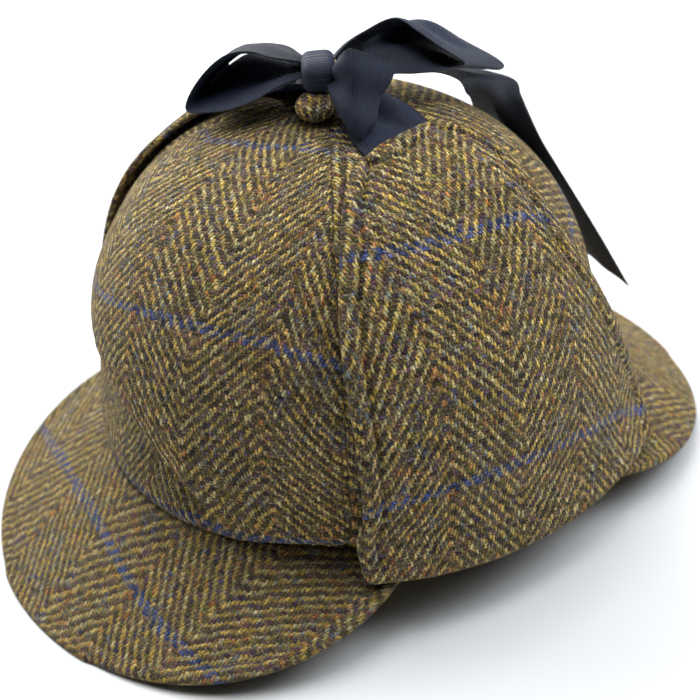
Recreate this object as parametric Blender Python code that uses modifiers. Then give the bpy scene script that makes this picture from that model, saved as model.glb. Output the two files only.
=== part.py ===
"""Deerstalker hat in herringbone tweed, its ear flaps tied up over the crown with a ribbon bow.

Frame: +Z is up and the table is z = 0. The front of the hat looks along -Y and the wearer's left
is +X. An azimuth is an angle seen from above, from the front (-Y) towards the wearer's left (+X).
A climb runs up the crown from the head opening (0) to the pole under the top button (1).
"""
import math

import bmesh
import bpy
from mathutils import Vector

MM = 0.001
UP = Vector((0, 0, 1))

# Head opening: the line where the crown meets the bills, an oval that dips at the sides.
OPENING_HALF_WIDTH = 92.5 * MM
OPENING_HALF_LENGTH = 97.7 * MM
OPENING_HEIGHT = 37.5 * MM
OPENING_SIDE_DIP = 8.1 * MM

# Crown: it swells from the opening to a belly, then domes over to the pole.
CROWN_WALL = 2.2 * MM
BELLY_HALF_WIDTH = 100.3 * MM
BELLY_HALF_LENGTH = 98.6 * MM
BELLY_RISE = 22.4 * MM
BELLY_CLIMB = 0.16
BELLY_FULLNESS = 0.8
CROWN_RISE = 127.0 * MM
CROWN_PLAN_POWER = 2.1
CROWN_RISE_POWER = 2.3
POLE_SHIFT = Vector((2.2 * MM, 2.7 * MM, 0))
SIDE_PANEL_SPAN = math.radians(70)
SEAM_GAP = 0.7 * MM
POLE_HOLE_RADIUS = 1.6 * MM

# Bills: the front and the rear one are alike.
BILL_THICKNESS = 3.2 * MM
BILL_SEAM_GAP = 0.6 * MM
BILL_REACH = 62.7 * MM
BILL_HALF_ANGLE = math.radians(70.5)
BILL_END_SHARE = 0.985
BILL_SLOPE_MIDDLE = math.radians(36.1)
BILL_SLOPE_EASING = math.radians(19.0)
BILL_OUTLINE_POWER = 2.33
BILL_OUTLINE_ROUNDING = 0.93
BILL_ROWS = (0.0, 0.15, 0.35, 0.55, 0.75, 0.88, 0.95, 1.0)
BILL_CLEAR_ANGLE = math.radians(4.2)
TABLE_CONTACT = 0.5 * MM

# Ear flaps: a tongue of doubled tweed that folds up from the opening.
FLAP_THICKNESS = 2.6 * MM
FLAP_AZIMUTH = math.radians(95.5)
FLAP_FOLD_HALF_ANGLES = (math.radians(36.5), math.radians(37.0))
FLAP_LIP_START = (1.7 * MM, -0.3 * MM)
FLAP_BILL_CLEARANCE = 0.7 * MM
# Where the fold's lowest line lies: out from the opening and down from it, in millimetres.
#              front edge     middle       rear edge
FLAP_FOLD = ((11.5, -4.2), (14.0, -7.2), (22.9, -11.2))
# A row of the flap, from the fold to the tip: climbs and half widths of its two edges, the climb
# of its middle, and the flap's outer face over the crown at the front, middle and rear.
#   front_climb, front_half, mid_climb, rear_climb, rear_half, front_out, mid_out, rear_out  (mm)
FLAP_ROWS = (
    (0.100, 62.5, 0.100, 0.100, 66.0, 8.5, 8.5, 15.0),
    (0.160, 61.5, 0.160, 0.170, 62.0, 8.0, 7.5, 12.0),
    (0.250, 61.0, 0.250, 0.260, 55.0, 7.5, 7.0, 9.0),
    (0.360, 59.0, 0.360, 0.360, 48.0, 7.0, 6.5, 7.5),
    (0.460, 55.0, 0.470, 0.450, 42.5, 6.5, 6.0, 6.5),
    (0.544, 49.0, 0.570, 0.550, 41.5, 6.0, 5.5, 6.0),
    (0.641, 39.5, 0.670, 0.641, 42.0, 5.5, 5.5, 5.5),
    (0.709, 32.0, 0.735, 0.705, 38.5, 5.2, 5.2, 5.2),
    (0.768, 24.0, 0.785, 0.745, 34.0, 5.0, 5.0, 5.0),
    (0.806, 18.0, 0.820, 0.770, 30.0, 4.8, 4.8, 4.8),
    (0.831, 10.0, 0.844, 0.797, 26.0, 4.8, 4.8, 4.8),
)
# The right flap lies closer to the crown: its stand at each row, as a share of the left one's.
RIGHT_FLAP_STAND = (1.0, 1.0, 0.8, 0.66, 0.62, 0.62, 0.66, 0.8, 0.95, 1.0, 1.0)

# Top button, a flattened ball covered in tweed and sewn a little in front of the pole.
BUTTON_CENTRE = Vector((2.4, -2.8, 132.6)) * MM
BUTTON_RADIUS = 7.6 * MM
BUTTON_HALF_HEIGHT = 5.3 * MM
BUTTON_PROFILE_STEPS = 10

# Ribbon, 38 mm wide, gathered where it enters the knot. Rails are measured from the bow's centre.
RIBBON_THICKNESS = 1.0 * MM
STRAP_STANDOFF = 1.0 * MM
BOW_CENTRE = Vector((-1.0, -3.0, 147.0)) * MM
KNOT_CENTRE = Vector((-0.8, 5.6, -3.5)) * MM
KNOT_HALF_SIZE = Vector((6.2, 8.0, 6.2)) * MM
KNOT_TURN = math.radians(57)
# A row across the ribbon: the near edge and the far edge, in millimetres from the bow's centre.
#   near_x, near_y, near_z, far_x, far_y, far_z
SIDE_LOOP_ROWS = (
    (-1.0, -1.9, -3.5, -12.6, 6.6, -6.0),
    (-6.0, -9.0, -6.5, -24.0, 7.0, -9.0),
    (-12.0, -16.5, -12.0, -37.0, 5.0, -11.0),
    (-20.0, -23.5, -16.5, -46.0, 3.0, -14.0),
    (-28.0, -29.5, -18.5, -52.0, 1.0, -18.5),
    (-33.5, -32.5, -19.0, -55.5, 0.0, -21.5),
    (-35.0, -31.0, -15.5, -56.0, 0.5, -20.5),
    (-34.5, -26.0, -9.5, -52.5, 2.0, -16.5),
    (-32.0, -20.0, -3.5, -46.5, 4.0, -11.5),
    (-27.5, -15.0, 0.7, -39.5, 5.5, -7.6),
    (-20.5, -10.5, 2.6, -30.5, 6.5, -4.6),
    (-13.5, -7.0, 2.0, -21.5, 7.0, -2.0),
    (-6.1, -2.4, 1.8, -11.6, 6.6, -1.2),
)
REAR_LOOP_ROWS = (
    (5.8, 8.2, -4.3, -2.2, 14.7, -6.8),
    (11.0, 16.0, -5.4, 2.0, 26.6, 2.0),
    (15.5, 28.0, -6.7, -5.8, 45.0, -2.4),
    (18.0, 36.0, -8.5, -6.6, 57.9, -8.6),
    (19.5, 46.0, -10.7, -3.5, 70.5, -20.2),
    (19.0, 53.5, -12.6, 1.0, 83.0, -32.0),
    (19.5, 56.5, -11.8, 3.0, 87.5, -32.0),
    (18.5, 54.0, -8.8, 1.5, 84.5, -27.5),
    (15.0, 48.5, -3.4, -4.5, 74.5, -18.7),
    (9.5, 43.5, 2.4, -11.0, 63.5, -8.9),
    (5.2, 36.4, 8.6, -15.7, 52.8, -9.3),
    (3.2, 23.7, 6.8, -11.1, 37.5, -8.0),
    (2.8, 15.6, 4.4, -6.7, 24.4, -5.0),
    (3.4, 9.8, 1.2, -3.0, 15.4, -2.0),
)
FRONT_TAIL_ROWS = (
    (6.3, 8.3, -1.0, 8.4, 3.2, -6.5),
    (10.5, 7.0, 5.0, 13.5, 1.5, -9.5),
    (14.5, 7.5, 9.5, 20.0, 0.5, -13.0),
    (16.5, 9.0, 11.0, 25.5, 1.0, -17.0),
    (18.0, 11.5, 9.5, 27.5, 2.0, -18.5),
    (19.5, 16.0, 6.5, 27.5, 3.5, -19.0),
    (20.5, 20.5, 3.5, 27.0, 5.0, -19.2),
    (21.5, 24.5, 1.0, 26.5, 6.5, -19.6),
)
REAR_TAIL_ROWS = (
    (3.0, 11.5, -7.6, -4.0, 16.5, -9.8),
    (5.0, 17.0, -8.3, -10.0, 29.0, -12.5),
    (9.5, 29.0, -9.6, -13.0, 46.0, -15.9),
    (12.5, 37.5, -11.6, -12.0, 58.0, -21.0),
    (14.5, 48.0, -14.5, -6.5, 73.0, -29.5),
    (14.0, 57.7, -21.8, 3.5, 90.4, -38.1),
    (8.7, 64.9, -32.4, 6.5, 92.4, -45.2),
    (-3.5, 75.5, -43.5, 9.0, 93.7, -52.2),
    (-15.1, 87.1, -59.3, 16.1, 94.1, -61.9),
    (-13.6, 97.3, -74.4, 24.1, 95.7, -71.8),
    (-5.1, 102.8, -87.1, 32.8, 98.1, -83.6),
    (6.2, 107.0, -102.3, 43.3, 100.6, -97.4),
    (20.0, 110.7, -119.0, 56.5, 103.0, -114.4),
)
LEFT_STRAP_ROWS = (
    (36.5, 0.5, -30.0, 38.5, 34.5, -30.0),
    (28.5, 0.8, -22.0, 30.5, 33.5, -26.0),
    (22.0, 1.0, -18.5, 22.0, 30.0, -19.5),
    (14.0, 4.5, -13.5, 12.5, 23.5, -14.0),
    (1.5, 8.3, -10.9, 0.0, 14.2, -10.9),
)
RIGHT_STRAP_ROWS = (
    (-35.5, 1.5, -30.0, -37.5, 33.5, -30.0),
    (-27.5, 1.5, -22.0, -29.5, 32.0, -26.0),
    (-22.0, 1.5, -18.5, -23.5, 27.5, -20.0),
    (-15.0, 1.5, -13.5, -16.0, 19.0, -14.5),
    (-3.5, 5.0, -10.9, -4.0, 11.5, -10.9),
)


def clear_scene():
    """Remove every object that the new scene starts with."""
    for thing in list(bpy.data.objects):
        bpy.data.objects.remove(thing, do_unlink=True)


def material(name, colour, roughness):
    """A plain cloth material."""
    cloth = bpy.data.materials.new(name)
    cloth.use_nodes = True
    shader = cloth.node_tree.nodes["Principled BSDF"]
    shader.inputs["Base Color"].default_value = (*colour, 1)
    shader.inputs["Roughness"].default_value = roughness
    shader.inputs["Metallic"].default_value = 0
    return cloth


def mix(start, end, share):
    """The value that lies a share of the way from start to end."""
    return start + (end - start) * share


def through_three(low, middle, high, place):
    """A parabola with the given values at places -1, 0 and 1."""
    return middle + (high - low) / 2 * place + ((high + low) / 2 - middle) * place * place


# ---------------------------------------------------------------- shapes that the pieces share

def opening_point(azimuth):
    """A point on the outer edge of the head opening."""
    return Vector((
        OPENING_HALF_WIDTH * math.sin(azimuth),
        -OPENING_HALF_LENGTH * math.cos(azimuth),
        OPENING_HEIGHT - OPENING_SIDE_DIP * math.sin(azimuth) ** 2,
    ))


def opening_outward(azimuth):
    """The level direction that leaves the head opening squarely."""
    return Vector((
        math.sin(azimuth) / OPENING_HALF_WIDTH,
        -math.cos(azimuth) / OPENING_HALF_LENGTH,
        0,
    )).normalized()


def crown_point(azimuth, climb):
    """A point on the crown's outer face."""
    if climb < BELLY_CLIMB:
        share = climb / BELLY_CLIMB
        swell = math.sin(share * math.pi / 2) ** BELLY_FULLNESS
        half_width = mix(OPENING_HALF_WIDTH, BELLY_HALF_WIDTH, swell)
        half_length = mix(OPENING_HALF_LENGTH, BELLY_HALF_LENGTH, swell)
        height = mix(opening_point(azimuth).z, OPENING_HEIGHT + BELLY_RISE, share)
        shift = POLE_SHIFT * 0.3 * share
        shrink = 1.0
    else:
        turn = (climb - BELLY_CLIMB) / (1 - BELLY_CLIMB) * math.pi / 2
        half_width, half_length = BELLY_HALF_WIDTH, BELLY_HALF_LENGTH
        shrink = max(math.cos(turn), 0) ** (2 / CROWN_PLAN_POWER)
        lift = math.sin(turn) ** (2 / CROWN_RISE_POWER)
        height = OPENING_HEIGHT + mix(BELLY_RISE, CROWN_RISE, lift)
        shift = POLE_SHIFT * (0.3 + 0.7 * lift)
    level = Vector((half_width * shrink * math.sin(azimuth),
                    -half_length * shrink * math.cos(azimuth), height))
    return level + shift


def crown_outward(azimuth, climb):
    """The direction that leaves the crown's outer face squarely."""
    step = 0.004
    along = crown_point(azimuth + step, climb) - crown_point(azimuth - step, climb)
    upward = crown_point(azimuth, climb + step) - crown_point(azimuth, max(climb - step, 0))
    return along.cross(upward).normalized()


def crown_radius(climb):
    """How far the crown's outer face lies from its axis."""
    side = crown_point(math.pi / 2, climb)
    return side.x - POLE_SHIFT.x * min(climb, 1)


def crown_height(x, y):
    """The height of the crown's outer face at a place seen from above, near its top."""
    low, high = BELLY_CLIMB, 1.0
    for _ in range(30):
        climb = (low + high) / 2
        front, side = crown_point(0, climb), crown_point(math.pi / 2, climb)
        across = (x - front.x) / (side.x - front.x)
        along = (y - side.y) / (front.y - side.y)
        if across * across + along * along > 1:
            high = climb
        else:
            low = climb
    return crown_point(0, low).z


def bill_slope(azimuth):
    """How steeply the bill falls away at an azimuth from its own middle."""
    return BILL_SLOPE_MIDDLE - BILL_SLOPE_EASING * (azimuth / BILL_HALF_ANGLE) ** 2


def bill_width(azimuth):
    """The bill's width, measured down its slope."""
    share = min(abs(azimuth) / BILL_HALF_ANGLE, 1)
    return BILL_REACH * (1 - share ** BILL_OUTLINE_POWER) ** BILL_OUTLINE_ROUNDING


def bill_drop(azimuth, out):
    """How far a bill's upper face lies below the opening, or None well past its outline."""
    from_middle = min(abs(azimuth), math.pi - abs(azimuth))
    slope = bill_slope(min(from_middle, BILL_HALF_ANGLE))
    reach = bill_width(max(from_middle - BILL_CLEAR_ANGLE, 0)) * math.cos(slope)
    if from_middle > BILL_HALF_ANGLE + BILL_CLEAR_ANGLE or out > reach + 2 * MM:
        return None
    return out * math.tan(slope)


def sheet(name, surface, across, rows, cloth, thickness):
    """A cloth piece: a grid laid on a surface(u, v) and given a wall on its inner side."""
    shape = bmesh.new()
    bmesh.ops.create_grid(shape, x_segments=across, y_segments=len(rows) - 1, size=0.5)
    for corner in shape.verts:
        row = rows[round((corner.co.y + 0.5) * (len(rows) - 1))]
        corner.co = surface(corner.co.x + 0.5, row)
    mesh = bpy.data.meshes.new(name)
    shape.to_mesh(mesh)
    shape.free()
    mesh.shade_smooth()
    piece = bpy.data.objects.new(name, mesh)
    piece.data.materials.append(cloth)
    wall = piece.modifiers.new("wall", "SOLIDIFY")
    wall.thickness = thickness
    wall.offset = -1
    wall.use_even_offset = True
    wall.use_quality_normals = True
    hat.objects.link(piece)
    return piece


def even_rows(count, end=1.0):
    """Evenly spaced rows from 0 to end."""
    return [end * index / count for index in range(count + 1)]


def settled(piece):
    """Put what the wall modifier makes into the mesh, and press its lowest edge flat on z = 0."""
    bpy.context.view_layer.update()
    graph = bpy.context.evaluated_depsgraph_get()
    mesh = bpy.data.meshes.new_from_object(piece.evaluated_get(graph))
    for corner in mesh.vertices:
        if corner.co.z < TABLE_CONTACT:
            corner.co.z = 0
    piece.modifiers.clear()
    piece.data = mesh


# ---------------------------------------------------------------- the hat's pieces

def crown_panel(name, middle, span, tweed):
    """One of the four panels of the crown, from the opening to the hole under the button."""
    top_turn = math.acos((POLE_HOLE_RADIUS / BELLY_HALF_WIDTH) ** (CROWN_PLAN_POWER / 2))
    top_climb = BELLY_CLIMB + (1 - BELLY_CLIMB) * top_turn / (math.pi / 2)

    def surface(across, climb):
        half_gap = SEAM_GAP / 2 / crown_radius(climb)
        return crown_point(middle + (2 * across - 1) * (span / 2 - half_gap), climb)

    skirt = [BELLY_CLIMB * share for share in (0, 0.22, 0.6)]
    dome = [mix(BELLY_CLIMB, top_climb, share) for share in even_rows(12)]
    columns = round(span / math.radians(7.5))
    return sheet(name, surface, columns, skirt + dome, tweed, CROWN_WALL)


def bill(name, facing, tweed):
    """A bill: facing is 1 for the front one and -1 for the rear one."""
    lowest_top = BILL_THICKNESS * math.cos(BILL_SLOPE_MIDDLE)

    def surface(across, share):
        azimuth = facing * (1 - 2 * across) * BILL_HALF_ANGLE * BILL_END_SHARE
        slope = bill_slope(azimuth)
        width = mix(BILL_SEAM_GAP, bill_width(azimuth), share)
        outward = opening_outward(azimuth)
        point = opening_point(azimuth) + outward * width * math.cos(slope)
        point -= UP * width * math.sin(slope)
        point.z = max(point.z, lowest_top)
        point.y *= facing
        return point

    piece = sheet(name, surface, 30, BILL_ROWS, tweed, BILL_THICKNESS)
    settled(piece)
    return piece


def ear_flap(name, side, tweed):
    """An ear flap turned up against the crown: side is 1 on the wearer's left, -1 on the right."""
    lip_rows, fold_rows = 4, 3

    def fold_azimuth(place):
        half_angle = FLAP_FOLD_HALF_ANGLES[0 if place < 0 else 1]
        return FLAP_AZIMUTH + place * half_angle

    def fold_line(place):
        out, down = (through_three(*column, place) * MM for column in zip(*FLAP_FOLD))
        return out, down

    def above_bills(azimuth, out, down):
        drop = bill_drop(azimuth, out)
        if drop is not None:
            down = max(down, FLAP_BILL_CLEARANCE - drop)
        return opening_point(azimuth) + opening_outward(azimuth) * out + UP * down

    def lip_point(place, share):
        out, down = fold_line(place)
        lip_out = mix(FLAP_LIP_START[0], out - 4.5 * MM, share)
        lip_down = mix(FLAP_LIP_START[1], down + 0.8 * MM, share)
        return above_bills(fold_azimuth(place), lip_out, lip_down)

    def fold_point(place, index):
        out, down = fold_line(place)
        step_out, step_down = ((-1.0, 0.0), (1.8, 1.6), (3.0, 5.4))[index]
        return above_bills(fold_azimuth(place), out + step_out * MM, down + step_down * MM)

    def wall_point(place, index):
        row = FLAP_ROWS[index]
        front_climb, front_half, mid_climb, rear_climb, rear_half = row[:5]
        edge_climb, half = (front_climb, front_half) if place < 0 else (rear_climb, rear_half)
        climb = mix(mid_climb, edge_climb, place * place)
        azimuth = FLAP_AZIMUTH + math.asin(place * half * MM / crown_radius(climb))
        out = through_three(*row[5:], place) * MM
        if side < 0:
            out *= RIGHT_FLAP_STAND[index]
        return crown_point(azimuth, climb) + crown_outward(azimuth, climb) * out

    def surface(across, row):
        place = 2 * across - 1
        if row < lip_rows:
            point = lip_point(place, row / lip_rows)
        elif row < lip_rows + fold_rows:
            point = fold_point(place, row - lip_rows)
        else:
            point = wall_point(place, row - lip_rows - fold_rows)
        point.x *= side
        return point

    rows = range(lip_rows + fold_rows + len(FLAP_ROWS))
    piece = sheet(name, surface, 18, rows, tweed, FLAP_THICKNESS)
    if side < 0:
        piece.data.flip_normals()
    return piece


def top_button(tweed):
    """The covered button, turned about its axis."""
    turns = [math.pi * (0.5 - index / BUTTON_PROFILE_STEPS) for index in range(BUTTON_PROFILE_STEPS + 1)]
    profile = [(BUTTON_RADIUS * math.cos(turn), 0, BUTTON_HALF_HEIGHT * math.sin(turn)) for turn in turns]
    mesh = bpy.data.meshes.new("top_button")
    mesh.from_pydata(profile, [(i, i + 1) for i in range(BUTTON_PROFILE_STEPS)], [])
    piece = bpy.data.objects.new("top_button", mesh)
    turned = piece.modifiers.new("turned", "SCREW")
    turned.steps = turned.render_steps = 24
    turned.use_merge_vertices = True
    turned.merge_threshold = 0.00005
    turned.use_normal_calculate = True
    piece.location = BUTTON_CENTRE + UP * OPENING_HEIGHT
    piece.data.materials.append(tweed)
    hat.objects.link(piece)
    return piece


def ribbon_piece(name, table, ribbon, across=3, steps=2, laid=False):
    """A length of ribbon between a table's near and far rails, laid on the crown or free."""
    near = [Vector(row[:3]) * MM for row in table]
    far = [Vector(row[3:]) * MM for row in table]

    def rail(points, place):
        index = min(int(place), len(points) - 2)
        ends = [points[min(max(index + i, 0), len(points) - 1)] for i in (-1, 0, 1, 2)]
        share = place - index
        before, start, end, after = ends
        return 0.5 * (2 * start + (end - before) * share
                      + (2 * before - 5 * start + 4 * end - after) * share ** 2
                      + (3 * start - before - 3 * end + after) * share ** 3)

    def surface(u, place):
        point = BOW_CENTRE + UP * OPENING_HEIGHT + mix(rail(near, place), rail(far, place), u)
        if laid:
            point.z = max(point.z, crown_height(point.x, point.y) + STRAP_STANDOFF)
        return point

    rows = [index / steps for index in range((len(table) - 1) * steps + 1)]
    piece = sheet(name, surface, across, rows, ribbon, RIBBON_THICKNESS)
    piece.modifiers["wall"].offset = 0
    return piece


def ribbon_knot(ribbon):
    """The knot: a soft box, from a coarse cage, turned to face the loops."""
    shape = bmesh.new()
    bmesh.ops.create_cube(shape, size=2)
    for corner in shape.verts:
        corner.co = Vector((corner.co.x * KNOT_HALF_SIZE.x * 1.1,
                            corner.co.y * KNOT_HALF_SIZE.y * 1.25,
                            corner.co.z * KNOT_HALF_SIZE.z * 1.25))
    mesh = bpy.data.meshes.new("ribbon_knot")
    shape.to_mesh(mesh)
    shape.free()
    mesh.shade_smooth()
    piece = bpy.data.objects.new("ribbon_knot", mesh)
    soft = piece.modifiers.new("soft", "SUBSURF")
    soft.levels = soft.render_levels = 2
    piece.location = BOW_CENTRE + KNOT_CENTRE + UP * OPENING_HEIGHT
    piece.rotation_euler.z = KNOT_TURN
    piece.data.materials.append(ribbon)
    hat.objects.link(piece)
    return piece


def build():
    """Make every piece of the hat."""
    tweed = material("tweed", (0.20, 0.15, 0.07), 0.95)
    ribbon = material("grosgrain", (0.010, 0.012, 0.020), 0.6)
    end_panel_span = math.pi - SIDE_PANEL_SPAN
    crown_panel("crown_front_panel", 0, end_panel_span, tweed)
    crown_panel("crown_left_panel", math.pi / 2, SIDE_PANEL_SPAN, tweed)
    crown_panel("crown_rear_panel", math.pi, end_panel_span, tweed)
    crown_panel("crown_right_panel", -math.pi / 2, SIDE_PANEL_SPAN, tweed)
    bill("front_bill", 1, tweed)
    bill("rear_bill", -1, tweed)
    ear_flap("left_ear_flap", 1, tweed)
    ear_flap("right_ear_flap", -1, tweed)
    top_button(tweed)
    ribbon_knot(ribbon)
    ribbon_piece("ribbon_side_loop", SIDE_LOOP_ROWS, ribbon)
    ribbon_piece("ribbon_rear_loop", REAR_LOOP_ROWS, ribbon)
    ribbon_piece("ribbon_front_tail", FRONT_TAIL_ROWS, ribbon)
    ribbon_piece("ribbon_rear_tail", REAR_TAIL_ROWS, ribbon)
    ribbon_piece("left_flap_strap", LEFT_STRAP_ROWS, ribbon, laid=True)
    ribbon_piece("right_flap_strap", RIGHT_STRAP_ROWS, ribbon, laid=True)


clear_scene()
hat = bpy.data.collections.new("deerstalker_hat")
bpy.context.scene.collection.children.link(hat)
build()
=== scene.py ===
"""Looks of the deerstalker hat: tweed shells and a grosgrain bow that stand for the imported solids.

Frame: +Z is up and the floor is z = 0. The front of the hat looks along -Y and the wearer's left
is +X. An azimuth is an angle seen from above, from the front (-Y) towards the wearer's left (+X).
A climb runs up the crown from the head opening (0) to the pole under the top button (1).
Every piece carries a UV map named "weave", in metres of flat cloth: u across the warp, v along it.
"""
import math

import bpy
import numpy as np
from mathutils import Matrix, Vector


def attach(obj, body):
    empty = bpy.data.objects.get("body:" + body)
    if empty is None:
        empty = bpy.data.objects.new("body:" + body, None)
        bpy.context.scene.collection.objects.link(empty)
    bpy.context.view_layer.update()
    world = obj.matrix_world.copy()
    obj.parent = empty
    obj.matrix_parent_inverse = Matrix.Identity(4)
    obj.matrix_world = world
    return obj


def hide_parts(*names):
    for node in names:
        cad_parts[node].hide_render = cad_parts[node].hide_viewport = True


MM = 0.001
QUARTER = math.pi / 2

# ---- sizes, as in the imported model

OPENING_HALF_WIDTH = 92.5 * MM
OPENING_HALF_LENGTH = 97.7 * MM
OPENING_HEIGHT = 37.5 * MM
OPENING_SIDE_DIP = 8.1 * MM

CROWN_WALL = 2.2 * MM
BELLY_HALF_WIDTH = 100.3 * MM
BELLY_HALF_LENGTH = 98.6 * MM
BELLY_RISE = 22.4 * MM
BELLY_CLIMB = 0.16
BELLY_FULLNESS = 0.8
CROWN_RISE = 127.0 * MM
CROWN_PLAN_POWER = 2.1
CROWN_RISE_POWER = 2.3
POLE_SHIFT = (2.2 * MM, 2.7 * MM)
BELLY_SHIFT = 0.3
SIDE_PANEL_SPAN = math.radians(70)
END_PANEL_SPAN = math.pi - SIDE_PANEL_SPAN
POLE_HOLE_RADIUS = 1.6 * MM
# The crown's seam allowance goes down inside the bills' inner edge.
CROWN_TUCK = 2.6 * MM

BILL_THICKNESS = 3.2 * MM
BILL_REACH = 62.7 * MM
BILL_HALF_ANGLE = math.radians(70.5)
BILL_END_SHARE = 0.985
BILL_SLOPE_MIDDLE = math.radians(36.1)
BILL_SLOPE_EASING = math.radians(19.0)
BILL_POWER = 2.33
BILL_ROUNDING = 0.93
BILL_CLEAR_ANGLE = math.radians(4.2)
BILL_CLEAR_REACH = 2.0 * MM

FLAP_THICKNESS = 2.6 * MM
FLAP_AZIMUTH = math.radians(95.5)
FLAP_HALF_ANGLES = (math.radians(36.5), math.radians(37.0))
FLAP_LIP_START = (1.7 * MM, -0.3 * MM)
FLAP_LIP_END = (-4.5 * MM, 0.8 * MM)
FLAP_BILL_CLEARANCE = 0.7 * MM
# Where the fold's lowest line lies: out from the opening and down from it, in millimetres.
#              front edge     middle       rear edge
FLAP_FOLD = ((11.5, -4.2), (14.0, -7.2), (22.9, -11.2))
# The flap's rows, from the fold to the tip: its climbs, its half widths and how far its outer
# face stands out from the crown, in millimetres.
#   front_climb, front_half, mid_climb, rear_climb, rear_half, front_out, mid_out, rear_out
FLAP_ROWS = (
    (0.10, 62.5, 0.10, 0.10, 66, 8.5, 8.5, 15),
    (0.16, 61.5, 0.16, 0.17, 62, 8, 7.5, 12),
    (0.25, 61, 0.25, 0.26, 55, 7.5, 7, 9),
    (0.36, 59, 0.36, 0.36, 48, 7, 6.5, 7.5),
    (0.46, 55, 0.47, 0.45, 42.5, 6.5, 6, 6.5),
    (0.544, 49, 0.57, 0.55, 41.5, 6, 5.5, 6),
    (0.641, 39.5, 0.67, 0.641, 42, 5.5, 5.5, 5.5),
    (0.709, 32, 0.735, 0.705, 38.5, 5.2, 5.2, 5.2),
    (0.768, 24, 0.785, 0.745, 34, 5, 5, 5),
    (0.806, 18, 0.82, 0.77, 30, 4.8, 4.8, 4.8),
    (0.831, 10, 0.844, 0.797, 26, 4.8, 4.8, 4.8),
)
# The right flap lies closer to the crown: its stand at each row, as a share of the left one's.
RIGHT_FLAP_STAND = (1.0, 0.95, 0.72, 0.56, 0.52, 0.52, 0.58, 0.75, 0.9, 1.0, 1.0)
FLAP_FOLD_STEPS = ((-1.0, 0.0), (1.8, 1.6), (3.0, 5.4))
FLAP_LIP_ROWS = 4

BUTTON_CENTRE = (2.4, -2.8, 132.6)
BUTTON_RADIUS = 7.6 * MM
BUTTON_HALF_HEIGHT = 5.3 * MM
BUTTON_WEAVE_START = (14 * MM, 45 * MM)

RIBBON_WIDTH = 38 * MM
RIBBON_THICKNESS = 0.6 * MM
STRAP_STANDOFF = 1.0 * MM
BOW_CENTRE = (-1.0, -3.0, 147.0)
KNOT_CENTRE = (-0.8, 5.6, -3.5)
KNOT_HALF_SIZE = (6.2, 8.0, 6.2)
KNOT_TURN = math.radians(57)
# A row across the ribbon: the near edge and the far edge, in millimetres from the bow's centre.
#   near_x, near_y, near_z, far_x, far_y, far_z
SIDE_LOOP_ROWS = (
    (-1, -1.9, -3.5, -12.6, 6.6, -6),
    (-6, -9, -6.5, -24, 7, -9),
    (-12, -16.5, -12, -37, 5, -11),
    (-20, -23.5, -16.5, -46, 3, -14),
    (-28, -29.5, -18.5, -52, 1, -18.5),
    (-33.5, -32.5, -19, -55.5, 0, -21.5),
    (-35, -31, -15.5, -56, 0.5, -20.5),
    (-34.5, -26, -9.5, -52.5, 2, -16.5),
    (-32, -20, -3.5, -46.5, 4, -11.5),
    (-27.5, -15, 0.7, -39.5, 5.5, -7.6),
    (-20.5, -10.5, 2.6, -30.5, 6.5, -4.6),
    (-13.5, -7, 2, -21.5, 7, -2.6),
    (-6.1, -2.4, 1.8, -11.6, 6.6, -2.4),
    (-3.4, 0.8, 0.8, -7.8, 8.4, -2.6),
)
REAR_LOOP_ROWS = (
    (5.8, 8.2, -4.3, -2.2, 14.7, -6.8),
    (11, 16, -5.4, 2, 26.6, 2),
    (15.5, 28, -6.7, -5.8, 45, -2.4),
    (18, 36, -8.5, -6.6, 57.9, -8.6),
    (19.5, 46, -10.7, -3.5, 70.5, -20.2),
    (19, 53.5, -12.6, 1, 83, -32),
    (19.5, 56.5, -11.8, 3, 87.5, -32),
    (18.5, 54, -8.8, 1.5, 84.5, -27.5),
    (15, 48.5, -3.4, -4.5, 74.5, -18.7),
    (9.5, 43.5, 2.4, -11, 63.5, -8.9),
    (5.2, 36.4, 8.6, -15.7, 52.8, -9.3),
    (3.2, 23.7, 6.8, -11.1, 37.5, -8),
    (2.8, 15.6, 4.4, -6.7, 24.4, -5),
    (3.4, 9.8, 1.2, -3, 15.4, -2),
)
FRONT_TAIL_ROWS = (
    (6.3, 8.3, -1, 8.4, 3.2, -6.5),
    (10.5, 7, 5, 13.5, 1.5, -9.5),
    (14.5, 7.5, 9.5, 20, 0.5, -13),
    (16.5, 9, 11, 25.5, 1, -17),
    (18, 11.5, 9.5, 27.5, 2, -18.5),
    (19.5, 16, 6.5, 27.5, 3.5, -19),
    (20.5, 20.5, 3.5, 27, 5, -19.2),
    (21.5, 24.5, 1, 26.5, 6.5, -19.6),
)
REAR_TAIL_ROWS = (
    (3, 11.5, -7.6, -4, 16.5, -9.8),
    (5, 17, -8.3, -10, 29, -12.5),
    (9.5, 29, -9.6, -13, 46, -15.9),
    (12.5, 37.5, -11.6, -12, 58, -21),
    (14.5, 48, -14.5, -6.5, 73, -29.5),
    (14, 57.7, -21.8, 3.5, 90.4, -38.1),
    (8.7, 64.9, -32.4, 6.5, 92.4, -45.2),
    (-3.5, 75.5, -43.5, 9, 93.7, -52.2),
    (-15.1, 87.1, -59.3, 16.1, 94.1, -61.9),
    (-13.6, 97.3, -74.4, 24.1, 95.7, -71.8),
    (-5.1, 102.8, -87.1, 32.8, 98.1, -83.6),
    (6.2, 107, -102.3, 43.3, 100.6, -97.4),
    (20, 110.7, -119, 56.5, 103, -114.4),
)
LEFT_STRAP_ROWS = (
    (36.5, 0.5, -30, 38.5, 34.5, -30),
    (28.5, 0.8, -22, 30.5, 33.5, -26),
    (22, 1, -18.5, 22, 30, -19.5),
    (14, 4.5, -13.5, 12.5, 23.5, -14),
    (1.5, 8.3, -10.9, 0, 14.2, -10.9),
)
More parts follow.
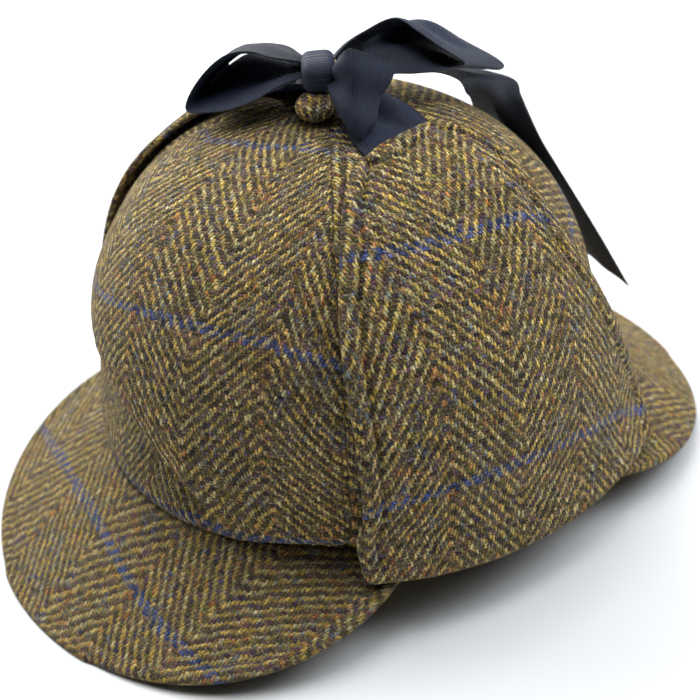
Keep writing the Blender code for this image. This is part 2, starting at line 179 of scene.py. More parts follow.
RIGHT_STRAP_ROWS = (
    (-35.5, 1.5, -30, -37.5, 33.5, -30),
    (-27.5, 1.5, -22, -29.5, 32, -26),
    (-22, 1.5, -18.5, -23.5, 27.5, -20),
    (-15, 1.5, -13.5, -16, 19, -14.5),
    (-3.5, 5, -10.9, -4, 11.5, -10.9),
)

# ---- the cloth's own measures

# Lengthwise ends and crosswise picks, in millimetres from yarn to yarn.
END_PITCH = 1.2
PICK_PITCH = 1.5
COLUMN_ENDS = 28
COLUMN_WIDTH = COLUMN_ENDS * END_PITCH
BLUE_REPEAT_PICKS = 60
BLUE_REPEAT = BLUE_REPEAT_PICKS * PICK_PITCH

# ---- small helpers


def mix(start, end, share):
    """The value that lies a share of the way from start to end."""
    return start + (end - start) * share


def rise(value, start, end):
    """A smooth step from 0 at start to 1 at end."""
    share = np.clip((value - start) / (end - start), 0, 1)
    return share * share * (3 - 2 * share)


def hump(value, centre, half_width):
    """A smooth bump of height 1."""
    return np.exp(-((value - centre) / half_width) ** 2)


def humps(value, table):
    """The sum of a table's bumps, each with its height, centre and half width."""
    return sum(height * hump(value, centre, half_width) for height, centre, half_width in table)


def between(value, begins, ends):
    """1 between two smooth steps, and 0 outside them."""
    return rise(value, *begins) * (1 - rise(value, *ends))


def wave(degrees, away, height, length, start, centre, half_width):
    """A soft wave round the hat, beside a line, with length degrees to a radian."""
    return height * np.sin(degrees / length + start) * hump(away, centre, half_width)


def vec(*coordinates):
    """An array of points from arrays of their coordinates."""
    return np.stack(np.broadcast_arrays(*coordinates), axis=-1).astype(float)


def unit(vectors):
    """The same directions with length 1."""
    return vectors / np.maximum(np.linalg.norm(vectors, axis=-1, keepdims=True), 1e-12)


def turned(x, y, angle):
    """Coordinates turned anticlockwise by an angle."""
    return x * math.cos(angle) - y * math.sin(angle), x * math.sin(angle) + y * math.cos(angle)


def through_three(low, middle, high, place):
    """A parabola with the given values at places -1, 0 and 1."""
    return middle + (high - low) / 2 * place + ((high + low) / 2 - middle) * place * place


def spline(points, places):
    """Points on the smooth curve through the first axis of an array, at places from 0 upwards."""
    last = len(points) - 1
    index = np.clip(np.floor(places).astype(int), 0, last - 1)
    share = (places - index).reshape((-1,) + (1,) * (points.ndim - 1))
    before, start, end, after = (points[np.clip(index + i, 0, last)] for i in (-1, 0, 1, 2))
    return 0.5 * (2 * start + (end - before) * share
                  + (2 * before - 5 * start + 4 * end - after) * share ** 2
                  + (3 * start - before - 3 * end + after) * share ** 3)


WIDEST_EDGE = 0.4
CROWDING = 0.30


def spread(count, edge_length, length):
    """Places from 0 to 1 that crowd together near both ends, where hems and seams need them."""
    even = np.linspace(0, 1, count + 1)
    edge_share = min(edge_length / length, WIDEST_EDGE)
    return even - (0.5 - edge_share) * CROWDING * np.sin(2 * np.pi * even)


def lengths(points, axis):
    """Running length along one axis of a grid of points."""
    steps = np.linalg.norm(np.diff(points, axis=axis), axis=-1)
    start = np.zeros_like(np.take(steps, [0], axis=axis))
    return np.concatenate([start, np.cumsum(steps, axis=axis)], axis=axis)


# ---- the hat's underlying surfaces

def opening_point(azimuth):
    """A point on the outer edge of the head opening."""
    return vec(OPENING_HALF_WIDTH * np.sin(azimuth), -OPENING_HALF_LENGTH * np.cos(azimuth),
               OPENING_HEIGHT - OPENING_SIDE_DIP * np.sin(azimuth) ** 2)


def opening_outward(azimuth):
    """The level direction that leaves the head opening squarely."""
    return unit(vec(np.sin(azimuth) / OPENING_HALF_WIDTH,
                    -np.cos(azimuth) / OPENING_HALF_LENGTH, 0))


def crown_point(azimuth, climb):
    """A point on the crown's outer face."""
    share = np.clip(climb / BELLY_CLIMB, 0, 1)
    swell = np.sin(share * QUARTER) ** BELLY_FULLNESS
    turn = np.clip((climb - BELLY_CLIMB) / (1 - BELLY_CLIMB), 0, 1) * QUARTER
    shrink = np.clip(np.cos(turn), 0, 1) ** (2 / CROWN_PLAN_POWER)
    lift = np.sin(turn) ** (2 / CROWN_RISE_POWER)
    low = np.less(climb, BELLY_CLIMB)
    half_width, half_length = (
        np.where(low, mix(opening, belly, swell), belly * shrink)
        for opening, belly in ((OPENING_HALF_WIDTH, BELLY_HALF_WIDTH),
                               (OPENING_HALF_LENGTH, BELLY_HALF_LENGTH)))
    opening_z = opening_point(azimuth)[..., 2]
    height = np.where(low, mix(opening_z, OPENING_HEIGHT + BELLY_RISE, share),
                      OPENING_HEIGHT + mix(BELLY_RISE, CROWN_RISE, lift))
    shift = np.where(low, BELLY_SHIFT * share, mix(BELLY_SHIFT, 1, lift))
    return vec(half_width * np.sin(azimuth) + shift * POLE_SHIFT[0],
               -half_length * np.cos(azimuth) + shift * POLE_SHIFT[1], height)


def crown_outward(azimuth, climb):
    """The direction that leaves the crown's outer face squarely."""
    step = 0.004
    along = crown_point(azimuth + step, climb) - crown_point(azimuth - step, climb)
    upward = crown_point(azimuth, climb + step) - crown_point(azimuth, np.maximum(climb - step, 0))
    return unit(np.cross(along, upward))


def crown_radius(climb):
    """How far the crown's outer face lies from its axis."""
    return crown_point(QUARTER, climb)[..., 0] - POLE_SHIFT[0] * np.minimum(climb, 1)


HALVINGS = 30


def crown_height(x, y):
    """The height of the crown's outer face at places seen from above, near its top."""
    low, high = np.full_like(x, BELLY_CLIMB), np.ones_like(x)
    for _ in range(HALVINGS):
        climb = (low + high) / 2
        front, side = crown_point(0 * climb, climb), crown_point(0 * climb + QUARTER, climb)
        across = (x - front[..., 0]) / (side[..., 0] - front[..., 0])
        along = (y - side[..., 1]) / (front[..., 1] - side[..., 1])
        outside = across * across + along * along > 1
        high = np.where(outside, climb, high)
        low = np.where(outside, low, climb)
    return crown_point(0 * low, low)[..., 2]


# The climbs at which the crown's length of cloth is measured.
CLIMBS = np.linspace(0, 1, 401)


def crown_arc(climb):
    """The length of cloth from the opening up to a climb, along the front of the crown."""
    line = crown_point(0 * CLIMBS, CLIMBS)
    return np.interp(climb, CLIMBS, lengths(line[None], 1)[0])


def bill_slope(azimuth):
    """How steeply the bill falls away at an azimuth from its own middle."""
    return BILL_SLOPE_MIDDLE - BILL_SLOPE_EASING * (azimuth / BILL_HALF_ANGLE) ** 2


def bill_width(azimuth):
    """The bill's width, measured down its slope."""
    share = np.minimum(np.abs(azimuth) / BILL_HALF_ANGLE, 1)
    return BILL_REACH * (1 - share ** BILL_POWER) ** BILL_ROUNDING


FAR_BELOW = 1.0


def bill_drop(azimuth, out):
    """How far a bill's upper face lies below the opening, or a large number past its outline."""
    from_middle = np.minimum(np.abs(azimuth), np.pi - np.abs(azimuth))
    slope = bill_slope(np.minimum(from_middle, BILL_HALF_ANGLE))
    reach = bill_width(np.maximum(from_middle - BILL_CLEAR_ANGLE, 0)) * np.cos(slope)
    past = (from_middle > BILL_HALF_ANGLE + BILL_CLEAR_ANGLE) | (out > reach + BILL_CLEAR_REACH)
    return np.where(past, FAR_BELOW, out * np.tan(slope))


# ---- meshes

def grid_normals(points):
    """The direction that leaves each point of a grid squarely, on the outer side."""
    return unit(np.cross(np.gradient(points, axis=1), np.gradient(points, axis=0)))


def cells(grid):
    """The four corners of each of a grid's cells, anticlockwise as seen from outside."""
    return np.stack([grid[:-1, :-1], grid[:-1, 1:], grid[1:, 1:], grid[1:, :-1]], 2)


def band(first, second):
    """The four corners of each cell between two rings."""
    return np.stack([first, second, np.roll(second, -1, 0), np.roll(first, -1, 0)], 1)


def border_indices(rows, columns):
    """The grid's border, anticlockwise as seen from outside, and for each place one further in."""
    down = [(0, j) for j in range(columns - 1)]
    right = [(i, columns - 1) for i in range(rows - 1)]
    top = [(rows - 1, j) for j in range(columns - 1, 0, -1)]
    left = [(i, 0) for i in range(rows - 1, 0, -1)]
    border = np.array(down + right + top + left)
    inner = np.clip(border, 1, (rows - 2, columns - 2))
    return border, inner


# The underside is cut from another part of the cloth, this far off in metres.
UNDERSIDE_SHIFT = (0.2, 0.1)


def shell(name, outer, weave, thickness, rings=6, floor=False, normal=None, squareness=1.0):
    """A cloth piece with a rounded edge, from its outer face and that face's weave coordinates.

    The edge is a half circle, or squarer where squareness is below 1.
    """
    rows, columns = outer.shape[:2]
    if normal is None:
        normal = grid_normals(outer)
    under = outer - normal * thickness
    border, inner = border_indices(rows, columns)
    b, n = tuple(border.T), tuple(inner.T)
    tangent = unit(np.roll(outer[b], -1, 0) - np.roll(outer[b], 1, 0))
    outward = unit(np.cross(tangent, normal[b]))
    reach = np.linalg.norm(outer[b] - outer[n], axis=-1, keepdims=True)
    weave_step = (weave[b] - weave[n]) / np.maximum(reach, 1e-6)
    half = thickness / 2
    ring_points, ring_weaves = [], []
    for k in range(rings + 1):
        turn = math.pi * k / rings
        level = math.copysign(abs(math.cos(turn)) ** squareness, math.cos(turn))
        ring_points.append(outer[b] - normal[b] * half * (1 - level)
                           + outward * half * math.sin(turn) ** squareness)
        ring_weaves.append(weave[b] + weave_step * half * turn)
    points = np.concatenate([outer.reshape(-1, 3), under.reshape(-1, 3), *ring_points[1:-1]])
    if floor:
        points[:, 2] = np.maximum(points[:, 2], 0)
    size = rows * columns
    index = np.arange(size).reshape(rows, columns)
    quad = cells(index).reshape(-1, 4)
    edge_index = 2 * size + np.arange((rings - 1) * len(border)).reshape(rings - 1, -1)
    ring_index = [index[b], *edge_index, index[b] + size]
    faces = [quad, quad[:, ::-1] + size]
    flat = weave.reshape(-1, 2)
    corners = [flat[quad].reshape(-1, 2),
               flat[quad[:, ::-1]].reshape(-1, 2) + UNDERSIDE_SHIFT]
    for k in range(rings):
        faces.append(band(*ring_index[k:k + 2]))
        corners.append(band(*ring_weaves[k:k + 2]).reshape(-1, 2))
    return mesh_object(name, points, np.concatenate(faces), np.concatenate(corners))


def wrapped(name, points, weave, inward=False):
    """A mesh from a grid of points whose last column lies on its first."""
    rows, columns = points.shape[0], points.shape[1] - 1
    index = np.arange(rows * columns).reshape(rows, columns)
    faces, corners = cells(np.pad(index, ((0, 0), (0, 1)), mode="wrap")), cells(weave)
    if inward:
        faces, corners = faces[:, :, ::-1], corners[:, :, ::-1]
    return mesh_object(name, points[:, :-1].reshape(-1, 3), faces.reshape(-1, 4),
                       corners.reshape(-1, 2))


def add_object(name, data):
    """A new object, linked to the scene."""
    added = bpy.data.objects.new(name, data)
    bpy.context.scene.collection.objects.link(added)
    return added


def mesh_object(name, points, faces, corners):
    """A smooth-shaded mesh with a weave UV map, linked to the scene."""
    mesh = bpy.data.meshes.new(name)
    mesh.from_pydata(points.tolist(), [], faces.tolist())
    layer = mesh.uv_layers.new(name="weave")
    layer.data.foreach_set("uv", np.asarray(corners, dtype=np.float32).ravel())
    mesh.shade_smooth()
    mesh.update()
    return add_object(name, mesh)


def dress(piece, material, slot, *nodes):
    """Give a finished piece its material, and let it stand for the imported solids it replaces."""
    piece.data.materials.append(material)
    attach(piece, "root")
    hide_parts(*nodes)


# ---- materials

# The numbers that describe a cloth's surface.
SURFACE = ("Roughness", "Specular IOR Level", "Sheen Weight", "Sheen Roughness", "Sheen Tint")


class Graph:
    """A short way to write a material's nodes."""

    def __init__(self, name):
        self.material = bpy.data.materials.new(name)
        self.material.use_nodes = True
        self.tree = self.material.node_tree
        self.shader = self.tree.nodes["Principled BSDF"]

    def put(self, socket, value):
        """Link a socket to another, or set its number, vector or colour."""
        if isinstance(value, bpy.types.NodeSocket):
            self.tree.links.new(value, socket)
        else:
            socket.default_value = value

    def node(self, kind, inputs, **settings):
        """The outputs of a new node, from pairs of its inputs and their values."""
        node = self.tree.nodes.new("ShaderNode" + kind)
        for name, value in settings.items():
            setattr(node, name, value)
        for socket, value in inputs:
            self.put(node.inputs[socket], value)
        return node.outputs

    def math(self, operation, *values):
        return self.node("Math", enumerate(values), operation=operation)[0]

    def times(self, first, second):
        return self.math("MULTIPLY", first, second)

    def line(self, value, slope, start):
        """The value times slope, plus start."""
        return self.math("MULTIPLY_ADD", value, slope, start)

    def place(self, x, y, z=0.0):
        return self.node("CombineXYZ", enumerate((x, y, z)))[0]

    def weave(self):
        """The weave coordinates of the cloth, in millimetres."""
        source = self.node("UVMap", (), uv_map="weave")[0]
        scaled = self.node("VectorMath", ((0, source), ("Scale", 1 / MM)), operation="SCALE")[0]
        return self.node("SeparateXYZ", [(0, scaled)])[:2]

    def noise(self, vector, scale, detail=2.0, roughness=0.5):
        return self.node("TexNoise", (("Vector", vector), ("Scale", scale), ("Detail", detail),
                                      ("Roughness", roughness)))["Fac"]

    def chances(self, vector):
        """Three random numbers from 0 to 1 for each whole-numbered place."""
        noise = self.node("TexWhiteNoise", [("Vector", vector)], noise_dimensions="3D")["Color"]
        return self.node("SeparateXYZ", [(0, noise)])[:3]

    def ramp(self, factor, tones):
        """A colour from a table of tones: place, red, green, blue."""
        node = self.tree.nodes.new("ShaderNodeValToRGB")
        elements = node.color_ramp.elements
        while len(elements) < len(tones):
            elements.new(0.5)
        for element, (place, *colour) in zip(elements, tones):
            element.position = place
            element.color = srgb(*colour)
        self.put(node.inputs[0], factor)
        return node.outputs[0]

    def blend(self, factor, first, second, how="MIX"):
        # The Mix node's colours are its inputs 6 and 7, and their blend its output 2.
        inputs = ((0, factor), (6, first), (7, second))
        return self.node("Mix", inputs, data_type="RGBA", blend_type=how)[2]

    def finish(self, colour, surface, height, depth):
        """Finish the material with its colour, its surface's settings and its raised yarns."""
        self.put(self.shader.inputs["Base Color"], colour)
        for name, value in zip(SURFACE, surface):
            self.shader.inputs[name].default_value = value
        inputs = (("Strength", 1.0), ("Distance", depth), ("Height", height))
        self.put(self.shader.inputs["Normal"], self.node("Bump", inputs)[0])
        return self.material


def srgb(red, green, blue):
    """An opaque colour from 0-255 screen values."""
    return (*((v / 12.92) if v <= 0.04045 else ((v + 0.055) / 1.055) ** 2.4
              for v in (red / 255, green / 255, blue / 255)), 1)


# The tones that the mixed yarns drift through.
#   place on the ramp, red, green, blue
WARP_TONES = (
    (0, 112, 116, 130), (0.12, 126, 136, 78), (0.24, 196, 142, 86), (0.36, 204, 176, 42),
    (0.47, 164, 110, 74), (0.57, 214, 190, 90), (0.68, 136, 142, 136), (0.80, 202, 178, 136),
    (0.90, 180, 156, 36), (1, 180, 102, 56),
)
WEFT_TONES = (
    (0, 42, 66, 106), (0.13, 120, 56, 63), (0.26, 48, 38, 74), (0.38, 132, 103, 57),
    (0.50, 50, 88, 76), (0.60, 86, 31, 43), (0.70, 109, 107, 93), (0.80, 144, 75, 48),
    (0.90, 36, 45, 76), (1, 130, 126, 51),
)
LOOSE_TONES = (
    (0, 84, 88, 80), (0.22, 164, 146, 66), (0.42, 104, 84, 66), (0.60, 184, 166, 92),
    (0.80, 124, 112, 112), (1, 164, 112, 68),
)
BLUE_PICK = srgb(36, 76, 148)
BLUE_END = srgb(60, 92, 150)
RUST_END = srgb(168, 78, 38)
# The whole cloth's tint, over its yarns.
TWEED_TINT = (0.97, 1.05, 1.13, 1)
# The yarns wander from their lines in slow and quick waves.
#   waves per millimetre, reach in millimetres
YARN_WANDER = ((0.16, 3.6), (0.9, 1.5))
WANDER_SEED, CHANCE_SEED = 7, 40
# Random layers over the weave: tufts, fibres, patches, hue drift and fuzz.
#   seed, scale per millimetre, detail, roughness
TWEED_LAYERS = (
    (0, 0.45, 2, 0.6), (3, 1.3, 2, 0.6), (31, 0.11, 1, 0.5), (11, 1.1, 2, 0.6), (23, 1, 3, 0.7),
)
YARN_ROUNDNESS = 0.8
WEFT_FULLNESS = 0.86
# Each pair is a line's slope and its start.
TONE_BY_HUE_DRIFT = (1.6, -1.15)
TONE_BY_PATCHES = 0.8
TONE_BY_CHANCE = 0.9
BLUE_LINE_PICKS = 2.5
BLUE_IN_WEFT = (0.4, 0.6)
BLUE_IN_WARP = 0.2
RUST_IN_WARP = (0.7, -0.05)
LOOSE_BY_FUZZ = (2.55, -1.0875)
MOST_LOOSE = 0.7
# For the yarns' height, lightness, fibres and tufts: the height and the fibres paint shade into the
# low places of the yarns' relief, and the lightness, fibres and tufts vary the tone at random.
SHADES = ((1.25, -0.12), (0.9, 0.48), (3.2, -0.6), (1.8, 0.1))
DARKEST_SHADE = 0.08
FIBRE_RELIEF = 0.9
TWEED_DEPTH = 0.55 * MM
TWEED_SURFACE = (0.95, 0.2, 0.08, 0.5, srgb(235, 220, 185))


def tweed_material(name, contrast, middle_shade):
    """Herringbone tweed: a two-up two-down twill that turns back at each column's edge.

    The ends (warp) are light mixed yarns and the picks (weft) dark ones. Three blue picks and one
    rust end repeat across the cloth as a faint windowpane. The shade of the yarns keeps a share,
    contrast, of its distance from middle_shade.
    """
    g = Graph(name)
    x, y = g.weave()
    wander_x, wander_y = 0.0, 0.0
    for scale, reach in YARN_WANDER:
        aside = g.line(g.noise(g.place(x, y), scale), reach, -reach / 2)
        wander_x = g.math("ADD", wander_x, aside)
        aside = g.line(g.noise(g.place(y, x, WANDER_SEED), scale), reach, -reach / 2)
        wander_y = g.math("ADD", wander_y, aside)
    u = g.math("DIVIDE", g.math("ADD", x, wander_x), END_PITCH)
    v = g.math("DIVIDE", g.math("ADD", y, wander_y), PICK_PITCH)
    end = g.math("PINGPONG", u, COLUMN_ENDS)
    column = g.math("FLOOR", g.math("DIVIDE", u, COLUMN_ENDS))
    end_index = g.math("FLOOR", end)
    pick_index = g.math("FLOOR", v)

    # Each yarn swells where it passes over two others, and the higher one shows.
    weft_run = g.math("ADD", end, pick_index)
    warp_run = g.math("ADD", end_index, v)

    def swell(run, middle, across, fullness):
        """The height of a yarn: highest in the middle of its float, and rounded across."""
        along = g.times(g.math("SUBTRACT", run, middle), math.pi / 2)
        length = g.line(g.math("COSINE", along), 0.5, 0.5)
        width = g.math("SINE", g.times(g.math("FRACT", across), math.pi))
        width = g.line(g.math("POWER", width, YARN_ROUNDNESS), 0.5, 0.5)
        return g.times(g.times(length, width), fullness)

    # A run counts the places along a yarn, four to a repeat, with its float round 1 or 3.
    weft_height = swell(weft_run, 1.0, v, WEFT_FULLNESS)
    warp_height = swell(warp_run, 3.0, end, 1.0)
    weft_up = g.math("GREATER_THAN", weft_height, warp_height)
    raised = g.math("MAXIMUM", weft_height, warp_height)

    # Each float takes its own tone, and the fibres in it drift through others.
    tufts, fibres, patches, hue_drift, fuzz = (
        g.noise(g.place(x, y, seed), *texture) for seed, *texture in TWEED_LAYERS)
    weft_float = g.math("FLOOR", g.math("DIVIDE", weft_run, 4.0))
    weft_tone, weft_light, weft_share = g.chances(g.place(weft_float, pick_index, column))
    warp_float = g.math("FLOOR", g.math("DIVIDE", warp_run, 4.0))
    warp_tone, warp_light, warp_share = g.chances(
        g.place(end_index, warp_float, g.math("ADD", column, CHANCE_SEED)))
    drift = g.line(patches, TONE_BY_PATCHES, g.line(hue_drift, *TONE_BY_HUE_DRIFT))

    def tone(own):
        """Where a yarn's tone lies on its ramp, from its own chance and the slower drifts."""
        return g.line(own, TONE_BY_CHANCE, drift)

    warp = g.ramp(tone(warp_tone), WARP_TONES)
    weft = g.ramp(tone(weft_tone), WEFT_TONES)
    blue_place = g.math("FLOORED_MODULO", g.math("ADD", pick_index, 1.0), BLUE_REPEAT_PICKS)
    blue_line = g.math("LESS_THAN", blue_place, BLUE_LINE_PICKS)
    blue_share = g.times(blue_line, g.line(weft_share, *BLUE_IN_WEFT))
    weft = g.blend(blue_share, weft, BLUE_PICK)
    warp = g.blend(g.times(blue_line, BLUE_IN_WARP), warp, BLUE_END)
    rust_line = g.math("LESS_THAN", end_index, 0.5)
    rust_share = g.times(rust_line, g.line(warp_share, *RUST_IN_WARP))
    warp = g.blend(rust_share, warp, RUST_END)
    yarn = g.blend(weft_up, warp, weft)
    # Loose fibres carry a little of every tone over the yarn beside them.
    loose = g.ramp(tone(weft_light), LOOSE_TONES)
    strayed = g.math("MAXIMUM", g.line(fuzz, *LOOSE_BY_FUZZ), 0.0)
    strayed = g.math("MINIMUM", strayed, MOST_LOOSE)
    yarn = g.blend(strayed, yarn, loose)
    lightness = g.math("ADD", g.times(weft_up, weft_light),
                       g.times(g.math("SUBTRACT", 1.0, weft_up), warp_light))
    # Painted shade: each yarn is darker where it sinks between the others and where its fibres lie
    # low.
    shade = 1.0
    for value, line in zip((raised, lightness, fibres, tufts), SHADES):
        shade = g.times(shade, g.line(value, *line))
    shade = g.line(shade, contrast, (1 - contrast) * middle_shade)
    shade = g.math("MAXIMUM", shade, DARKEST_SHADE)
    yarn = g.blend(1.0, yarn, TWEED_TINT, "MULTIPLY")
    colour = g.blend(1.0, yarn, g.place(shade, shade, shade), "MULTIPLY")
    height = g.math("ADD", raised, g.times(fibres, FIBRE_RELIEF))
    return g.finish(colour, TWEED_SURFACE, height, TWEED_DEPTH)


# The ribbon's ribs, lengthwise threads and woven edge, in millimetres.
RIB_PITCH = 0.85
THREAD_PITCH = 0.4
WOVEN_EDGE = 1.1
EDGE_COLOUR = srgb(12, 14, 20)
# Tones from the ribs' furrows, painted dark as shade, up to their crests.
GROSGRAIN_TONES = ((0.1, 15, 21, 38), (0.6, 23, 31, 53), (0.95, 32, 42, 67))
GROSGRAIN_DEPTH = 0.22 * MM
GROSGRAIN_SURFACE = (0.6, 0.35, 0.06, 0.4, srgb(190, 200, 225))


def grosgrain_material():
    """Ribbed ribbon, near-black navy, with a narrow woven edge on each side."""
    g = Graph("grosgrain")
    x, y = g.weave()
    rib = g.math("ABSOLUTE", g.math("SINE", g.times(y, math.pi / RIB_PITCH)))
    thread = g.math("ABSOLUTE", g.math("SINE", g.times(x, math.pi / THREAD_PITCH)))
    half_width = RIBBON_WIDTH / MM / 2
    from_middle = g.math("ABSOLUTE", g.math("SUBTRACT", x, half_width))
    edge = g.math("GREATER_THAN", from_middle, half_width - WOVEN_EDGE)
    cloudy = g.noise(g.place(x, y), 0.25, 3.0)
    # Painted shade: darker in the furrows between the ribs and lighter on their crests, with a
    # cloudy noise that varies the tone at random.
    colour = g.ramp(g.line(rib, 0.5, g.times(cloudy, 0.6)), GROSGRAIN_TONES)
    colour = g.blend(g.times(edge, 0.5), colour, EDGE_COLOUR)
    height = g.line(thread, 0.25, rib)
    return g.finish(colour, GROSGRAIN_SURFACE, height, GROSGRAIN_DEPTH)


# ---- the crown

# Where the front panel's herringbone turns, in millimetres up and across the cloth.
#   arc, first_peak, valley, second_peak
FRONT_TURNS = (
    (0, 8, 33, 70),
    (20, 7, 32, 67.5),
    (40, 4, 31, 64.5),
    (60, 0, 29.5, 61.5),
    (80, -5, 28, 59.5),
    (100, -8, 27.5, 56.5),
    (120, -9, 24, 50),
    (140, -10, 17.5, 43),
    (160, -11, 11, 35),
    (190, -12, 6, 28),
)
# The height of the blue line on the front panel, up the cloth, at places across it.
FRONT_BLUE_ACROSS = (-60, -35, -22, -10, 0, 10, 25, 40, 55, 70, 95)
FRONT_BLUE_ARC = (66, 70, 74, 78, 81, 83.5, 85.5, 86, 85.5, 82.5, 76)
BLUE_ARC = 84.0
SEAM_BLUE_ARC = 3.2
SEAM_BLUE_LIFT = 4.3
# The other panels' cloth is turned a little, by this slope.
PANEL_SKEW = 0.12


def crown_weave(azimuth, climb, middle):
    """Weave coordinates on the crown panel that has its middle at an azimuth."""
    arc = crown_arc(climb) / MM
    across = (azimuth - middle) * crown_radius(climb) / MM
    if middle != 0:
        up = arc - BLUE_ARC
        return vec(across + PANEL_SKEW * up, up - PANEL_SKEW * across) * MM
    arcs, *lines = zip(*FRONT_TURNS)
    first, valley, second = (np.interp(arc, arcs, line) for line in lines)
    left = (across - first) / (valley - first)
    right = 1 + (across - valley) / (second - valley)
    u = np.where(across < valley, left, right) * COLUMN_WIDTH
    # The next blue line below runs along the bill's seam.
    upper_blue = np.interp(across, FRONT_BLUE_ACROSS, FRONT_BLUE_ARC)
    seam_blue = SEAM_BLUE_ARC + SEAM_BLUE_LIFT * seam_fold(azimuth)
    v = (arc - upper_blue) * BLUE_REPEAT / (upper_blue - seam_blue)
    return vec(u, v) * MM


# The crown's relief is in millimetres, at millimetres up the cloth and degrees round it.
# Bumps beside a line: height, distance from the line, half width.
SEAM_RELIEF = ((-0.7, 0, 1.8), (0.2, 4.5, 3))
OPENING_RELIEF = ((-1.2, 0, 2.2), (0.6, 7, 5))
# A wave: height, length, start, distance from the line, half width.
LOW_WAVE = (0.45, 9, 1, 20, 26)
SLANT_HEIGHT, SLANT_DEGREES, SLANT_ARC = 0.35, 15, 30
# The crease across the front: the cloth bulges above it and is turned in below it.
CREASE_DEGREES = (-30, -7, 4, 12, 20, 30)
CREASE_ARC = (56, 46, 38, 30, 17, 5)
CREASE_BEGINS, CREASE_ENDS = (-60, -10), (16, 30)
CREASE_DEPTH = 9.0
CREASE_SIDE = (-3, 1.2)
FADE_START, FADE_SHARE = -2, 0.9
CREASE_RELIEF = ((2.1, 11, 13),)
# The fold over the bill's seam.
SEAM_FOLD_DEPTH = 3.6 * MM
SEAM_FOLD_BEGINS, SEAM_FOLD_ENDS = (18, 50), (95, 110)
SEAM_FOLD_ARC = 7.0
SEAM_FOLD_SIDE = (-1.2, 0.8)
SEAM_FOLD_RELIEF = ((0.8, 3, 3.5),)


def seam_fold(azimuth):
    """How much of the fold over the bill's seam there is at an azimuth, from 0 to 1."""
    return between(np.degrees(azimuth), SEAM_FOLD_BEGINS, SEAM_FOLD_ENDS)


def crown_relief(azimuth, climb, seams):
    """How far the cloth stands out from the crown's plain form, in metres."""
    arc = crown_arc(climb) / MM
    degrees = np.degrees(azimuth)
    relief = humps(arc, OPENING_RELIEF) + wave(degrees, arc, *LOW_WAVE)
    relief = relief + SLANT_HEIGHT * np.sin(degrees / SLANT_DEGREES + arc / SLANT_ARC)
    for seam in seams:
        away = np.abs(azimuth - seam) * crown_radius(climb) / MM
        relief = relief + humps(away, SEAM_RELIEF)
    # The cloth bulges over a crease at the front, and turns in below it.
    crease = np.interp(degrees, CREASE_DEGREES, CREASE_ARC)
    over = arc - crease
    faded = rise(arc, FADE_START, crease * FADE_SHARE)
    tuck = CREASE_DEPTH * (1 - rise(over, *CREASE_SIDE)) * faded
    there = between(degrees, CREASE_BEGINS, CREASE_ENDS)
    relief = relief + there * (humps(over, CREASE_RELIEF) - tuck)
    # A fold over the bill's seam deepens towards the flap.
    depth = seam_fold(azimuth)
    over = arc - SEAM_FOLD_ARC * depth
    relief = relief - SEAM_FOLD_DEPTH / MM * depth * (1 - rise(over, *SEAM_FOLD_SIDE))
    relief = relief + depth * humps(over, SEAM_FOLD_RELIEF)
    return relief * MM


# The crown's mesh: steps, columns for each degree and the lengths of its crowded edges.
CROWN_STEPS = 136
COLUMNS_PER_DEGREE = 1.25
CROWN_ENDS = 10 * MM
CROWN_SIDES = (12 * MM, 0.15)
HALF_SEAM_GAP = 0.03 * MM
LEAST_RADIUS = 4 * MM


def crown_panel(name, middle, span, tweed):
    """One of the crown's four panels, with its edges turned in at the seams."""
    top_turn = math.acos((POLE_HOLE_RADIUS / BELLY_HALF_WIDTH) ** (CROWN_PLAN_POWER / 2))
    top_climb = BELLY_CLIMB + (1 - BELLY_CLIMB) * top_turn / QUARTER
    edge = CROWN_WALL / 2
    top = crown_arc(top_climb) - edge
    even = mix(-CROWN_TUCK, top, spread(CROWN_STEPS, CROWN_ENDS, top))
    climb = np.interp(even, crown_arc(CLIMBS), CLIMBS)[:, None]
    below = np.minimum(even, 0)[:, None]
    columns = round(math.degrees(span) * COLUMNS_PER_DEGREE)
    across = spread(columns, *CROWN_SIDES)[None, :]
    inset = (edge + HALF_SEAM_GAP) / np.maximum(crown_radius(climb), LEAST_RADIUS)
    azimuth = middle + (2 * across - 1) * (span / 2 - inset)
    seams = (middle - span / 2, middle + span / 2)
    relief = crown_relief(azimuth, climb, seams)[..., None]
    normal = crown_outward(azimuth, climb)
    outer = crown_point(azimuth, climb) + normal * relief
    outer[..., 2] += below
    piece = shell(name, outer, crown_weave(azimuth, climb, middle), CROWN_WALL, rings=10,
                  normal=normal, squareness=0.5)
    dress(piece, tweed, "tweed", name)


# ---- the bills

BILL_WEAVE_TURN = math.radians(-13)
BILL_WEAVE_START = (6.0, 120.5)
REAR_BILL_WEAVE_TURN = math.radians(34)
REAR_BILL_WEAVE_START = 38 * MM
# The cloth is pulled askew, and its crosswise yarns droop towards the wearer's left.
BILL_SHIFT = 23 * MM
BILL_SKEW = 0.25
BILL_DROOP = 3.5
BILL_DROOP_START = 10 * MM
# The bill reaches in under the crown, and its rounded end takes a share of its half angle.
BILL_REACH_IN = 1.3 * MM
BILL_EDGE_SHARE = 0.012
# Relief: a wave round the bill, and bumps in from its rim, as on the crown.
BILL_WAVE = (0.35, 11, 0.4, 35, 30)
BILL_RIM_RELIEF = ((-0.5, 5.5, 1.6), (0.25, 2.2, 1.8))
# Steps of the mesh, the length of its crowded edges, and its whole length.
BILL_COLUMNS = (150, 20 * MM, 0.25)
BILL_ROWS = (48, 8 * MM, 0.063)


